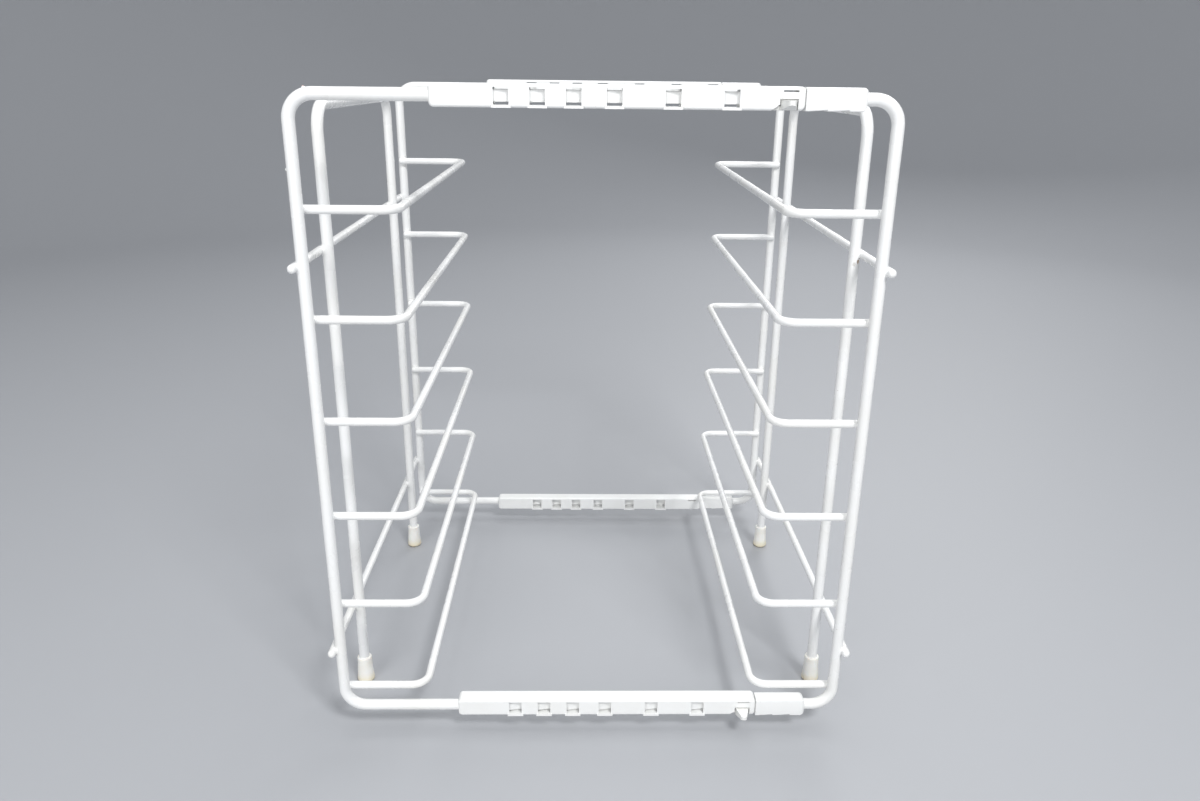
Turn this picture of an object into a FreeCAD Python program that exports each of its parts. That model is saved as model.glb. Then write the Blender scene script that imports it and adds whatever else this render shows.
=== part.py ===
"""Instrument cassette rack: two coated wire side frames joined by four telescopic rails.

Lengths are in millimetres. +Z is up, +X runs to the right along the rails and +Y to the back.
The origin is on the table, midway between the side frames and midway between front and back.
"""

import FreeCAD, Part
import Sketcher
import math
import os

# Driving sizes. Each one is a cell of the sheet, under the same name.
SIZES = {
    "rack_width": 250.0,
    "rack_depth": 237.2,
    "frame_low_height": 15.0,
    "frame_top_height": 312.6,
    "thick_wire": 4.8,
    "thin_wire": 3.4,
    "weld_sink": 0.15,
    "frame_bend": 10.5,
    "hoop_inset": 41.0,
    "hoop_top_height": 306.9,
    "hoop_bend": 12.0,
    "runner_reach": 41.0,
    "runner_bend": 8.0,
    "runner_low_height": 24.1,
    "runner_pitch": 48.32,
    "runner_end": 1.4,
    "stringer_overhang": 5.4,
    "stringer_tip_round": 1.5,
    "runner_tip_round": 1.0,
    "foot_radius": 4.1,
    "foot_mouth_radius": 3.25,
    "foot_height": 15.3,
    "foot_floor": 3.0,
    "foot_base_round": 1.1,
    "foot_lip_round": 0.4,
    "press_gap": 0.05,
    "running_gap": 0.3,
    "sleeve_left_reach": 67.4,
    "sleeve_right_reach": 85.2,
    "sleeve_tall": 9.4,
    "sleeve_deep": 8.4,
    "sleeve_set_back": 1.0,
    "sleeve_corner": 2.0,
    "sleeve_edge_round": 1.2,
    "wire_seat": 14.0,
    "cavity_left_reach": 51.0,
    "cavity_tall": 7.0,
    "cavity_deep": 4.8,
    "collar_left": 60.8,
    "window_wide": 6.3,
    "window_below": 3.6,
    "window_above": 3.3,
    "window_first_edge": -35.0,
    "close_pitch": 14.7,
    "middle_pitch": 16.5,
    "wide_pitch": 23.8,
    "ledge_tall": 1.3,
    "ledge_proud": 0.4,
    "ledge_margin": 0.8,
    "head_gap": 0.4,
    "head_long": 25.0,
    "head_tall": 9.0,
    "head_deep": 6.2,
    "head_corner": 1.8,
    "head_edge_round": 1.2,
    "head_tooth": 1.1,
    "head_tooth_flat": 1.6,
    "head_tooth_pitch": 11.4,
    "head_tooth_first": 96.0,
    "shank_tall": 4.6,
    "shank_deep": 3.6,
    "shoe_long": 8.0,
    "ramp_rise": 1.5,
    "latch_pivot_reach": 63.6,
    "latch_pivot_drop": 3.7,
    "latch_thick": 1.5,
    "latch_wide": 2.8,
    "trunnion_radius": 0.55,
    "trunnion_long": 0.6,
    "nose_gap": 0.35,
    "tab_wide": 6.4,
    "tab_tip_wide": 3.4,
    "tab_proud": 7.0,
    "tab_root": 1.05,
    "tab_top_drop": 0.6,
    "tab_tip_thick": 1.6,
    "notch_slack": 0.6,
    "notch_taper": 3.4,
}

doc = FreeCAD.newDocument("cassette_rack")
sheet = doc.addObject("Spreadsheet::Sheet", "Sizes")
for row, (alias, amount) in enumerate(SIZES.items(), start=1):
    sheet.set("A%d" % row, alias)
    sheet.set("B%d" % row, str(amount))
    sheet.setAlias("B%d" % row, alias)
doc.recompute()


class Size:
    """A length that knows both its amount and the sheet expression that gives it."""

    def __init__(self, amount, text):
        self.amount = float(amount)
        self.text = text

    def joined(self, sign, other):
        other = as_size(other)
        a, b = self.amount, other.amount
        amount = {"+": a + b, "-": a - b, "*": a * b}[sign] if sign != "/" else a / b
        return Size(amount, "(%s %s %s)" % (self.text, sign, other.text))

    def __add__(self, other):
        return self.joined("+", other)

    def __sub__(self, other):
        return self.joined("-", other)

    def __mul__(self, other):
        return self.joined("*", other)

    def __truediv__(self, other):
        return self.joined("/", other)

    def __neg__(self):
        return Size(0, "0").joined("-", self)


def as_size(value):
    return value if isinstance(value, Size) else Size(value, repr(float(value)))


def size(alias):
    return Size(getattr(sheet, alias), "Sizes." + alias)


ZERO = Size(0, "0")

# Heights, reaches and half sizes that several pieces share.
half_width = size("rack_width") / 2
half_depth = size("rack_depth") / 2
thick_radius = size("thick_wire") / 2
thin_radius = size("thin_wire") / 2
crossing = thick_radius + thin_radius - size("weld_sink")
runner_count = 6
window_count = 6
head_tooth_count = 2
window_pitches = (
    [size("close_pitch")] * 2 + [size("middle_pitch")] + [size("wide_pitch")] * 3
)
window_edges = [size("window_first_edge")]
for pitch in window_pitches:
    window_edges.append(window_edges[-1] + pitch)
notch_edge = window_edges[window_count]
sleeve_left = -size("sleeve_left_reach")
sleeve_right = size("sleeve_right_reach")
sleeve_front = size("sleeve_set_back") - size("sleeve_deep") / 2
sleeve_back = size("sleeve_set_back") + size("sleeve_deep") / 2
sleeve_half_tall = size("sleeve_tall") / 2
head_left = sleeve_right + size("head_gap")
head_right = head_left + size("head_long")
cavity_left = -size("cavity_left_reach")
shank_left = cavity_left + size("running_gap")
shank_low = size("shank_tall") / 2
socket_radius = thick_radius + size("press_gap")
cut_across = size("sleeve_deep") * 3
seat_left = sleeve_left + size("wire_seat")
seat_right = head_right - size("wire_seat")


# Sketching and feature helpers.
def bind(thing, path, length):
    thing.setExpression(path, as_size(length).text)


def place(thing, x=ZERO, y=ZERO, z=ZERO, turn=0.0):
    """Put a finished piece in the rack, turned about the vertical."""
    x, y, z = as_size(x), as_size(y), as_size(z)
    base = FreeCAD.Vector(x.amount, y.amount, z.amount)
    thing.Placement = FreeCAD.Placement(base, FreeCAD.Rotation(FreeCAD.Vector(0, 0, 1), turn))
    for axis, length in zip("xyz", (x, y, z)):
        bind(thing, ".Placement.Base." + axis, length)


def new_body(label):
    body = doc.addObject("PartDesign::Body", label)
    body.Label = label
    return body


def sketch_on(body, role, offset=ZERO):
    """Attach a sketch to one of the body's own planes, moved along that plane's normal."""
    sketch = body.newObject("Sketcher::SketchObject", body.Name + "_sketch")
    plane = [f for f in body.Origin.OriginFeatures if f.Role == role][0]
    sketch.AttachmentSupport = (plane, [""])
    sketch.MapMode = "FlatFace"
    offset = as_size(offset)
    sketch.AttachmentOffset = FreeCAD.Placement(
        FreeCAD.Vector(0, 0, offset.amount), FreeCAD.Rotation()
    )
    bind(sketch, "AttachmentOffset.Base.z", offset)
    return sketch


def pin_one(sketch, kind, axis, geometry, end, length):
    """Hold one coordinate of a point, on the axis itself where the distance is nothing."""
    length = as_size(length)
    if length.text == "0":
        sketch.addConstraint(Sketcher.Constraint("PointOnObject", geometry, end, axis))
        return
    index = sketch.addConstraint(
        Sketcher.Constraint(kind, -1, 1, geometry, end, length.amount)
    )
    bind(sketch, "Constraints[%d]" % index, length)


def pin(sketch, geometry, end, point):
    pin_one(sketch, "DistanceX", -2, geometry, end, point[0])
    pin_one(sketch, "DistanceY", -1, geometry, end, point[1])


def vector(point):
    return FreeCAD.Vector(as_size(point[0]).amount, as_size(point[1]).amount, 0)


def circle(sketch, centre, radius):
    geometry = sketch.addGeometry(
        Part.Circle(vector(centre), FreeCAD.Vector(0, 0, 1), radius.amount)
    )
    index = sketch.addConstraint(Sketcher.Constraint("Radius", geometry, radius.amount))
    bind(sketch, "Constraints[%d]" % index, radius)
    pin(sketch, geometry, 3, centre)


def arc_between(start, end, radius, clockwise=False):
    """The shorter arc from start to end, and which of its ends is its start."""
    if clockwise:
        start, end = end, start
    chord = end - start
    across = FreeCAD.Vector(-chord.y, chord.x, 0).normalize()
    depth = math.sqrt(max(radius**2 - (chord.Length / 2) ** 2, 0.0))
    centre = (start + end) * 0.5 + across * depth
    low = math.atan2(start.y - centre.y, start.x - centre.x)
    high = math.atan2(end.y - centre.y, end.x - centre.x)
    whole = Part.Circle(centre, FreeCAD.Vector(0, 0, 1), radius)
    return Part.ArcOfCircle(whole, low, high), (2, 1) if clockwise else (1, 2)


def outline(sketch, points, arcs=None):
    """Closed outline, listed counterclockwise; arcs gives the radius of a side that is round."""
    arcs = arcs or {}
    corners = [vector(point) for point in points]
    sides = []
    for index, corner in enumerate(corners):
        following = corners[(index + 1) % len(corners)]
        if index in arcs:
            shape, _ = arc_between(corner, following, arcs[index].amount)
        else:
            shape = Part.LineSegment(corner, following)
        sides.append(sketch.addGeometry(shape))
    for index, side in enumerate(sides):
        following = sides[(index + 1) % len(sides)]
        sketch.addConstraint(Sketcher.Constraint("Coincident", side, 2, following, 1))
    for index, side in enumerate(sides):
        pin(sketch, side, 1, points[index])
        if index in arcs:
            held = sketch.addConstraint(
                Sketcher.Constraint("Radius", side, arcs[index].amount)
            )
            bind(sketch, "Constraints[%d]" % held, arcs[index])


def rectangle(sketch, left, right, low, high):
    outline(sketch, [(left, low), (right, low), (right, high), (left, high)])


def rounded_rectangle(sketch, left, right, low, high, corner):
    points = [
        (left + corner, low),
        (right - corner, low),
        (right, low + corner),
        (right, high - corner),
        (right - corner, high),
        (left + corner, high),
        (left, high - corner),
        (left, low + corner),
    ]
    outline(sketch, points, {side: corner for side in (1, 3, 5, 7)})


def wire_route(sketch, corners, radius):
    """A route along the sketch axes through the corners, with an equal bend at each of them."""
    spots = [vector(corner) for corner in corners]
    steps = [b - a for a, b in zip(spots, spots[1:])]
    ways = [FreeCAD.Vector(step).normalize() for step in steps]
    last = len(ways) - 1
    lines = []
    for index, way in enumerate(ways):
        start = spots[index] + way * (radius.amount if index > 0 else 0.0)
        end = spots[index + 1] - way * (radius.amount if index < last else 0.0)
        lines.append(sketch.addGeometry(Part.LineSegment(start, end)))
        level = "Vertical" if abs(way.x) < 0.5 else "Horizontal"
        sketch.addConstraint(Sketcher.Constraint(level, lines[-1]))
    for index in range(last):
        corner = spots[index + 1]
        start = corner - ways[index] * radius.amount
        end = corner + ways[index + 1] * radius.amount
        turn = ways[index].cross(ways[index + 1]).z
        shape, ends = arc_between(start, end, radius.amount, clockwise=turn < 0)
        bend = sketch.addGeometry(shape)
        sketch.addConstraint(Sketcher.Constraint("Tangent", lines[index], 2, bend, ends[0]))
        sketch.addConstraint(Sketcher.Constraint("Tangent", bend, ends[1], lines[index + 1], 1))
        held = sketch.addConstraint(Sketcher.Constraint("Radius", bend, radius.amount))
        bind(sketch, "Constraints[%d]" % held, radius)
    pin(sketch, lines[0], 1, corners[0])
    pin(sketch, lines[-1], 2, corners[-1])
    for index in range(1, last):
        if abs(ways[index].x) < 0.5:
            pin_one(sketch, "DistanceX", -2, lines[index], 1, corners[index][0])
        else:
            pin_one(sketch, "DistanceY", -1, lines[index], 1, corners[index][1])


def pad(body, sketch, length, both_ways=False):
    feature = body.newObject("PartDesign::Pad", body.Name + "_pad")
    feature.Profile = sketch
    feature.SideType = "Symmetric" if both_ways else "One side"
    feature.Length = as_size(length).amount
    bind(feature, "Length", length)
    sketch.Visibility = False
    doc.recompute()
    return feature


def pocket(body, sketch, length, forward=False, both_ways=False):
    """Cut along the sketch normal when forward, otherwise against it; it has to remove material."""
    before = body.Shape.Volume
    feature = body.newObject("PartDesign::Pocket", body.Name + "_pocket")
    feature.Profile = sketch
    feature.SideType = "Symmetric" if both_ways else "One side"
    feature.Length = as_size(length).amount
    feature.Reversed = forward
    bind(feature, "Length", length)
    doc.recompute()
    if not body.Shape.Volume < before - 0.01:
        raise ValueError("%s cuts nothing" % feature.Label)
    return feature


def pipe(body, route, section):
    feature = body.newObject("PartDesign::AdditivePipe", body.Name + "_pipe")
    feature.Spine = (route, [""])
    feature.Profile = section
    doc.recompute()
    return feature


def round_edges(body, wanted, radius):
    """Fillet the edges of the finished body so far that the test picks out."""
    base = body.Tip
    names = ["Edge%d" % n for n, edge in enumerate(base.Shape.Edges, start=1) if wanted(edge)]
    feature = body.newObject("PartDesign::Fillet", body.Name + "_round")
    feature.Base = (base, names)
    feature.Radius = radius.amount
    bind(feature, "Radius", radius)
    doc.recompute()
    return feature


def lies_at(edge, axis, amount):
    """Whether the whole edge is in the plane across the given axis at that amount."""
    box = edge.BoundBox
    low, high = {
        "x": (box.XMin, box.XMax),
        "y": (box.YMin, box.YMax),
        "z": (box.ZMin, box.ZMax),
    }[axis]
    return abs(low - amount) < 0.01 and abs(high - amount) < 0.01


# Bent wires. Each is drawn about its own natural axis and then placed.
def frame_wire(label, stub):
    """Bracket of thick wire: a low stub, an upright at x = 0 and a top stub, both towards +X."""
    body = new_body(label)
    low = size("frame_low_height")
    top = size("frame_top_height")
    route = sketch_on(body, "XZ_Plane")
    corners = [(stub, low), (ZERO, low), (ZERO, top), (stub, top)]
    wire_route(route, corners, size("frame_bend"))
    section = sketch_on(body, "YZ_Plane", stub)
    circle(section, (ZERO, low), thick_radius)
    pipe(body, route, section)
    return body


def hoop_wire(label):
    """Inverted U of thick wire, whose two legs end in the feet."""
    body = new_body(label)
    leg = half_depth - size("hoop_inset")
    foot = size("foot_floor") + size("press_gap")
    top = size("hoop_top_height")
    route = sketch_on(body, "YZ_Plane")
    corners = [(-leg, foot), (-leg, top), (leg, top), (leg, foot)]
    wire_route(route, corners, size("hoop_bend"))
    section = sketch_on(body, "XY_Plane", foot)
    circle(section, (ZERO, -leg), thick_radius)
    pipe(body, route, section)
    return body


def runner_wire(label):
    """U of thin wire in plan: in from the front upright, back along the bay, out to the rear one."""
    body = new_body(label)
    across = half_depth - crossing
    reach = size("runner_reach")
    end = -size("runner_end")
    route = sketch_on(body, "XY_Plane")
    corners = [(end, -across), (reach, -across), (reach, across), (end, across)]
    wire_route(route, corners, size("runner_bend"))
    section = sketch_on(body, "YZ_Plane", end)
    circle(section, (-across, ZERO), thin_radius)
    pipe(body, route, section)

    def at_tip(edge):
        return lies_at(edge, "x", end.amount)

    round_edges(body, at_tip, size("runner_tip_round"))
    return body


def stringer_wire(label):
    """Straight thin wire from front to back, proud of both frames, with rounded tips."""
    body = new_body(label)
    section = sketch_on(body, "XZ_Plane")
    circle(section, (ZERO, ZERO), thin_radius)
    length = size("rack_depth") + size("stringer_overhang") * 2
    pad(body, section, length, both_ways=True)
    tip = length.amount / 2

    def at_tip(edge):
        return lies_at(edge, "y", -tip) or lies_at(edge, "y", tip)

    round_edges(body, at_tip, size("stringer_tip_round"))
    return body


def foot_cap(label):
    """Push-on foot: a turned bell with a flat base and a blind socket for the leg."""
    body = new_body(label)
    sketch = sketch_on(body, "XZ_Plane")
    radius = size("foot_radius")
    mouth = size("foot_mouth_radius")
    tall = size("foot_height")
    base_round = size("foot_base_round")
    lip_round = size("foot_lip_round")
    floor = size("foot_floor")
    points = [
        (ZERO, ZERO),
        (radius - base_round, ZERO),
        (radius, base_round),
        (mouth, tall - lip_round),
        (mouth - lip_round, tall),
        (socket_radius, tall),
        (socket_radius, floor),
        (ZERO, floor),
    ]
    arcs = {1: base_round, 3: lip_round}
    outline(sketch, points, arcs)
    feature = body.newObject("PartDesign::Revolution", label + "_turned")
    feature.Profile = sketch
    feature.ReferenceAxis = (sketch, ["V_Axis"])
    feature.Angle = 360
    doc.recompute()
    return body


# Telescopic rail. Its X is the rack's, and y = 0, z = 0 is the axis of the frame wires.
def rail_sleeve(label):
    """Outer moulding: windows through both walls, a ledge under each, a slot for the latch.

    The last window is filled by the latch and shows only as a slit above the shank.
    """
    body = new_body(label)
    face = sketch_on(body, "XZ_Plane", -sleeve_back)
    rounded_rectangle(
        face, sleeve_left, sleeve_right, -sleeve_half_tall, sleeve_half_tall, size("sleeve_corner")
    )
    pad(body, face, size("sleeve_deep"))

    def round_a_face(edge):
        return lies_at(edge, "y", sleeve_front.amount) or lies_at(edge, "y", sleeve_back.amount)

    round_edges(body, round_a_face, size("sleeve_edge_round"))

    ledges = sketch_on(body, "XY_Plane", -sleeve_half_tall)
    for edge in window_edges[:window_count]:
        left = edge - size("window_wide") - size("ledge_margin")
        right = edge + size("ledge_margin")
        proud = size("ledge_proud")
        rectangle(ledges, left, right, sleeve_front - proud, sleeve_back + proud)
    pad(body, ledges, size("ledge_tall"))

    socket = sketch_on(body, "YZ_Plane", sleeve_left)
    circle(socket, (ZERO, ZERO), socket_radius)
    pocket(body, socket, size("wire_seat"), forward=True)

    half_cavity_tall = size("cavity_tall") / 2
    half_cavity_deep = size("cavity_deep") / 2
    cavity = sketch_on(body, "YZ_Plane", cavity_left)
    rectangle(cavity, -half_cavity_deep, half_cavity_deep, -half_cavity_tall, half_cavity_tall)
    pocket(body, cavity, size("collar_left") - cavity_left, forward=True)

    half_passage_deep = size("shank_deep") / 2 + size("running_gap")
    half_passage_tall = shank_low + size("running_gap")
    passage = sketch_on(body, "YZ_Plane", sleeve_right)
    rectangle(
        passage, -half_passage_deep, half_passage_deep, -half_passage_tall, half_passage_tall
    )
    pocket(body, passage, sleeve_right - size("collar_left"))

    windows = sketch_on(body, "XZ_Plane")
    for edge in window_edges[:window_count]:
        left = edge - size("window_wide")
        rectangle(windows, left, edge, -size("window_below"), size("window_above"))
    rectangle(
        windows, notch_edge - size("window_wide"), notch_edge, half_passage_tall, size("window_above")
    )
    pocket(body, windows, cut_across, both_ways=True)

    slot = sketch_on(body, "XY_Plane", -sleeve_half_tall)
    half_slot = size("latch_wide") / 2 + size("running_gap")
    slot_left = size("latch_pivot_reach") - size("latch_thick") / 2 - size("running_gap")
    rectangle(slot, slot_left, notch_edge, -half_slot, half_slot)
    pocket(body, slot, sleeve_half_tall - shank_low, forward=True)

    notch = sketch_on(body, "XZ_Plane", -sleeve_front)
    notch_left = notch_edge - size("tab_wide") - size("notch_slack") * 2
    below = -sleeve_half_tall
    outline(
        notch,
        [
            (notch_left - size("notch_taper"), below),
            (notch_edge, below),
            (notch_edge, ZERO),
            (notch_left, ZERO),
            (notch_left, below / 2),
        ],
    )
    pocket(body, notch, -sleeve_front)

    holes = sketch_on(body, "XZ_Plane")
    centre = (size("latch_pivot_reach"), -size("latch_pivot_drop"))
    circle(holes, centre, size("trunnion_radius") + size("press_gap"))
    hole_long = size("latch_wide") + (size("trunnion_long") + size("press_gap")) * 2
    pocket(body, holes, hole_long, both_ways=True)
    return body


def rail_slide(label):
    """Inner moulding: toothed head on the right wire, and a shank with ramps in the sleeve."""
    body = new_body(label)
    half_head = size("head_tall") / 2
    half_deep = size("head_deep") / 2
    face = sketch_on(body, "XZ_Plane")
    rounded_rectangle(face, head_left, head_right, -half_head, half_head, size("head_corner"))
    pad(body, face, size("head_deep"), both_ways=True)

    def round_a_face(edge):
        return lies_at(edge, "y", -half_deep.amount) or lies_at(edge, "y", half_deep.amount)

    round_edges(body, round_a_face, size("head_edge_round"))

    half_shank = size("shank_deep") / 2
    shank = sketch_on(body, "YZ_Plane", shank_left)
    rectangle(shank, -half_shank, half_shank, -shank_low, shank_low)
    pad(body, shank, head_left + size("head_corner") - shank_left)

    shoe_tall = size("cavity_tall") / 2 - size("running_gap")
    shoe_deep = size("cavity_deep") / 2 - size("running_gap")
    shoe = sketch_on(body, "YZ_Plane", shank_left)
    rectangle(shoe, -shoe_deep, shoe_deep, -shoe_tall, shoe_tall)
    pad(body, shoe, size("shoe_long"))

    ramps = sketch_on(body, "XZ_Plane")
    for edge in window_edges:
        left = edge - size("window_wide")
        top = -shank_low + size("ramp_rise")
        beneath = -size("cavity_tall")
        outline(ramps, [(left, beneath), (edge, beneath), (edge, top), (left, -shank_low)])
    pocket(body, ramps, cut_across, both_ways=True)

    teeth = sketch_on(body, "XZ_Plane")
    for count in range(head_tooth_count):
        right = size("head_tooth_first") + size("head_tooth_pitch") * count
        left = right - size("head_tooth_pitch") + size("head_tooth_flat")
        top = size("head_tooth") - half_head
        beneath = -size("head_tall")
        outline(teeth, [(left, beneath), (right, beneath), (right, top), (left, -half_head)])
    pocket(body, teeth, cut_across, both_ways=True)

    socket = sketch_on(body, "YZ_Plane", head_right)
    circle(socket, (ZERO, ZERO), socket_radius)
    pocket(body, socket, size("wire_seat"))
    return body


def rail_latch(label):
    """Lever in the sleeve's lower slot: two trunnions, a nose and a thumb tab that stands out."""
    body = new_body(label)
    pivot = size("latch_pivot_reach")
    level = -size("latch_pivot_drop")
    half_thick = size("latch_thick") / 2
    half_wide = size("latch_wide") / 2
    tab_right = notch_edge - size("notch_slack")
    tab_left = tab_right - size("tab_wide")
    nose_top = -shank_low - size("nose_gap")

    lever = sketch_on(body, "XZ_Plane")
    points = [
        (pivot, level - half_thick),
        (tab_right, level - half_thick),
        (tab_right, nose_top),
        (tab_left, level + half_thick),
        (pivot, level + half_thick),
        (pivot - half_thick, level),
    ]
    outline(lever, points, {4: half_thick, 5: half_thick})
    pad(body, lever, size("latch_wide"), both_ways=True)

    trunnion = sketch_on(body, "XZ_Plane")
    circle(trunnion, (pivot, level), size("trunnion_radius"))
    trunnion_span = size("latch_wide") + size("trunnion_long") * 2
    pad(body, trunnion, trunnion_span, both_ways=True)

    low = level - half_thick
    tip = sleeve_front - size("tab_proud")
    tip_radius = size("tab_tip_wide") / 2
    middle = (tab_left + tab_right) / 2
    plan = sketch_on(body, "XY_Plane", low)
    points = [
        (middle - tip_radius, tip + tip_radius),
        (middle, tip),
        (middle + tip_radius, tip + tip_radius),
        (tab_right, sleeve_front),
        (tab_right, -half_wide),
        (tab_left, -half_wide),
        (tab_left, sleeve_front),
    ]
    outline(plan, points, {0: tip_radius, 1: tip_radius})
    top = -size("tab_top_drop")
    pad(body, plan, top - low)

    side = sketch_on(body, "YZ_Plane", tab_left)
    behind = ZERO
    wall = -half_wide - size("tab_root")
    outline(side, [(wall, nose_top), (behind, nose_top), (behind, ZERO), (wall, ZERO)])
    tip_low = top - size("tab_tip_thick")
    beyond = tip - size("notch_slack")
    under = low - size("notch_slack")
    outline(side, [(beyond, under), (sleeve_front, under), (sleeve_front, low), (beyond, tip_low)])
    pocket(body, side, size("tab_wide"), forward=True)
    return body


def mirrored_back(front, label):
    """The same moulding for a rear rail, mirrored across the rack's middle plane."""
    copy = doc.addObject("Part::Mirroring", label)
    copy.Label = label
    copy.Source = front
    copy.Normal = FreeCAD.Vector(0, 1, 0)
    return copy


# Assembly. The left half carries the sleeves and latches, the right half the slides.
pieces = []


def add(piece, *where, turn=0.0):
    place(piece, *where, turn=turn)
    pieces.append(piece)


hoop_leg = half_depth - size("hoop_inset")
half_pitch = size("runner_pitch") / 2
runner_top = size("runner_low_height") + size("runner_pitch") * (runner_count - 1)
stringer_heights = [
    ("lower", size("runner_low_height") + half_pitch),
    ("upper", runner_top - half_pitch),
]
sides = [
    ("left", -half_width, seat_left + half_width, 0.0, -crossing),
    ("right", half_width, half_width - seat_right, 180.0, crossing),
]
for side, at_x, stub, turn, outside in sides:
    for end, at_y in (("front", -half_depth), ("rear", half_depth)):
        add(frame_wire("%s_%s_frame" % (side, end), stub), at_x, at_y, turn=turn)
    add(hoop_wire("%s_hoop" % side), at_x)
    for count in range(runner_count):
        height = size("runner_low_height") + size("runner_pitch") * count
        add(runner_wire("%s_runner_%d" % (side, count + 1)), at_x, ZERO, height, turn=turn)
    for level, height in stringer_heights:
        add(stringer_wire("%s_%s_stringer" % (side, level)), at_x + outside, ZERO, height)
    for end, at_y in (("front", -hoop_leg), ("rear", hoop_leg)):
        add(foot_cap("%s_%s_foot" % (side, end)), at_x, at_y)

for level, height in (
    ("bottom", size("frame_low_height")),
    ("top", size("frame_top_height")),
):
    for maker, name in ((rail_sleeve, "sleeve"), (rail_latch, "latch")):
        front = maker("%s_front_%s" % (level, name))
        add(front, ZERO, -half_depth, height)
        pieces.append(mirrored_back(front, "%s_rear_%s" % (level, name)))
    for end, at_y in (("front", -half_depth), ("rear", half_depth)):
        add(rail_slide("%s_%s_slide" % (level, end)), ZERO, at_y, height)

doc.recompute()

faults = [o.Label for o in doc.Objects if "Invalid" in o.State or "Error" in o.State]
faults += [p.Label for p in pieces if p.Shape.isNull() or not p.Shape.isValid()]
if faults:
    raise ValueError("these failed: " + ", ".join(faults))

os.makedirs("parts", exist_ok=True)
for piece in pieces:
    piece.Shape.exportStep("parts/%s.step" % piece.Label)
print("%d pieces written" % len(pieces))
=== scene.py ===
"""Looks of the instrument cassette rack: dip-coated white wire, moulded white rails, cream feet.

Lengths are in metres, in the rack's own frame: +X along the rails, +Y to the back, +Z up.
The rails' sleeves and the latches stay as they are and get their finishes here. New pieces stand
for the other solids: the wires with their thick, slightly uneven dip coating, the sliding
mouldings with a straight low edge, and the feet. Menisci of coating fill the corners where the
wires are welded across each other, and two burrs are left in it.
"""

import math

import bpy
import numpy as np
from mathutils import Matrix, Vector


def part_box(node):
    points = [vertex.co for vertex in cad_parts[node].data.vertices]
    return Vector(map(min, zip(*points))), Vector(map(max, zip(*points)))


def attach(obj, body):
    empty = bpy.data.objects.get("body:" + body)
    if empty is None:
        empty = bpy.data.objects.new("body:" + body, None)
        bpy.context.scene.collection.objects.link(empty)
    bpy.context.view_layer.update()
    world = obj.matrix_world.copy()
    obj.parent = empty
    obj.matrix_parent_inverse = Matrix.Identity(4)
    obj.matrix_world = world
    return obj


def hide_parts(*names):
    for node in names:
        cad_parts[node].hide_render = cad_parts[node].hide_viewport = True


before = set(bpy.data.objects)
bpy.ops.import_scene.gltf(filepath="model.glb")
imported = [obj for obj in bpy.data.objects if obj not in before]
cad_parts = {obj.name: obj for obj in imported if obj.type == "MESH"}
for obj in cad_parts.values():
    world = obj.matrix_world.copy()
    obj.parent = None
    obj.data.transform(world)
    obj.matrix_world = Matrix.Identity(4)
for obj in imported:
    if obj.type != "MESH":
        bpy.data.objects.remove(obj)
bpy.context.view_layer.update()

MM = 0.001
SIDES = ("left", "right")

# Camera of the photograph.
CAMERA_PLACE = Vector((-0.005, -0.507, 0.3208))
CAMERA_PITCH = math.radians(-19.73)
CAMERA_YAW = math.radians(1.235)
CAMERA_ROLL = math.radians(0.696)
CAMERA_LENS = 27.23
CAMERA_SENSOR = 36.0

# Dip coating: what it adds all round a wire, the wires' bends, and how their ends are rounded.
COAT_ON_THICK = 0.3 * MM
COAT_ON_THIN = 0.25 * MM
FRAME_BEND = 10.5 * MM
HOOP_BEND = 12.0 * MM
RUNNER_BEND = 8.0 * MM
HIDDEN_END = 0.5 * MM
RUNNER_END = 1.3 * MM
STRINGER_END = 1.8 * MM
SEAT_DEPTH = 2.0 * MM
WAVE = 0.025 * MM
RIPPLE = 0.006 * MM
SAG = 0.04 * MM
WAVE_LENGTH = 47.0 * MM
RIPPLE_LENGTH = 17.0 * MM
PROUD = 0.1 * MM
PHASE_STEP = 1.7
THIN_LIMIT = 2.0 * MM
RUN_ROWS = 60
BEND_ROWS = 14
END_ROWS = 7

# Sliding mouldings, measured from the axis of the frame wires.
SHOE_LONG = 8.0 * MM
SHOE_HALF_TALL = 3.2 * MM
SHOE_HALF_DEEP = 2.1 * MM
SHANK_HALF_TALL = 2.5 * MM
SHANK_HALF_DEEP = 2.0 * MM
POCKET_DEEP = 1.2 * MM
FIRST_WINDOW = -35.0 * MM
WINDOW_PITCHES = (14.7 * MM, 14.7 * MM, 16.5 * MM, 23.8 * MM, 23.8 * MM)
WINDOW_WIDE = 6.3 * MM
HEAD_GAP = 0.2 * MM
HEAD_LOW = -4.8 * MM
HEAD_TOP = 4.5 * MM
HEAD_HALF_DEEP = 3.5 * MM
HEAD_ROUND = 2.0 * MM
HEAD_TEETH = 2
HEAD_TOOTH = 0.5 * MM
HEAD_TOOTH_LONG = 7.5 * MM
HEAD_TOOTH_FIRST = 1.5 * MM
HEAD_TOOTH_PITCH = 9.0 * MM
EDGE_ROUND = 0.5 * MM
SHARP_FROM = math.radians(35)

# Feet.
FOOT_BASE = 4.7 * MM
FOOT_MOUTH = 3.9 * MM
FOOT_BASE_ROUND = 1.6 * MM
FOOT_LIP_ROUND = 0.6 * MM
FOOT_ROWS = 16
FLARE_POWER = 1.6
WAVER_SHARE = 0.01
WAVER_TIMES = 3
WAVER_CLIMB = 2.0 * MM

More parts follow.
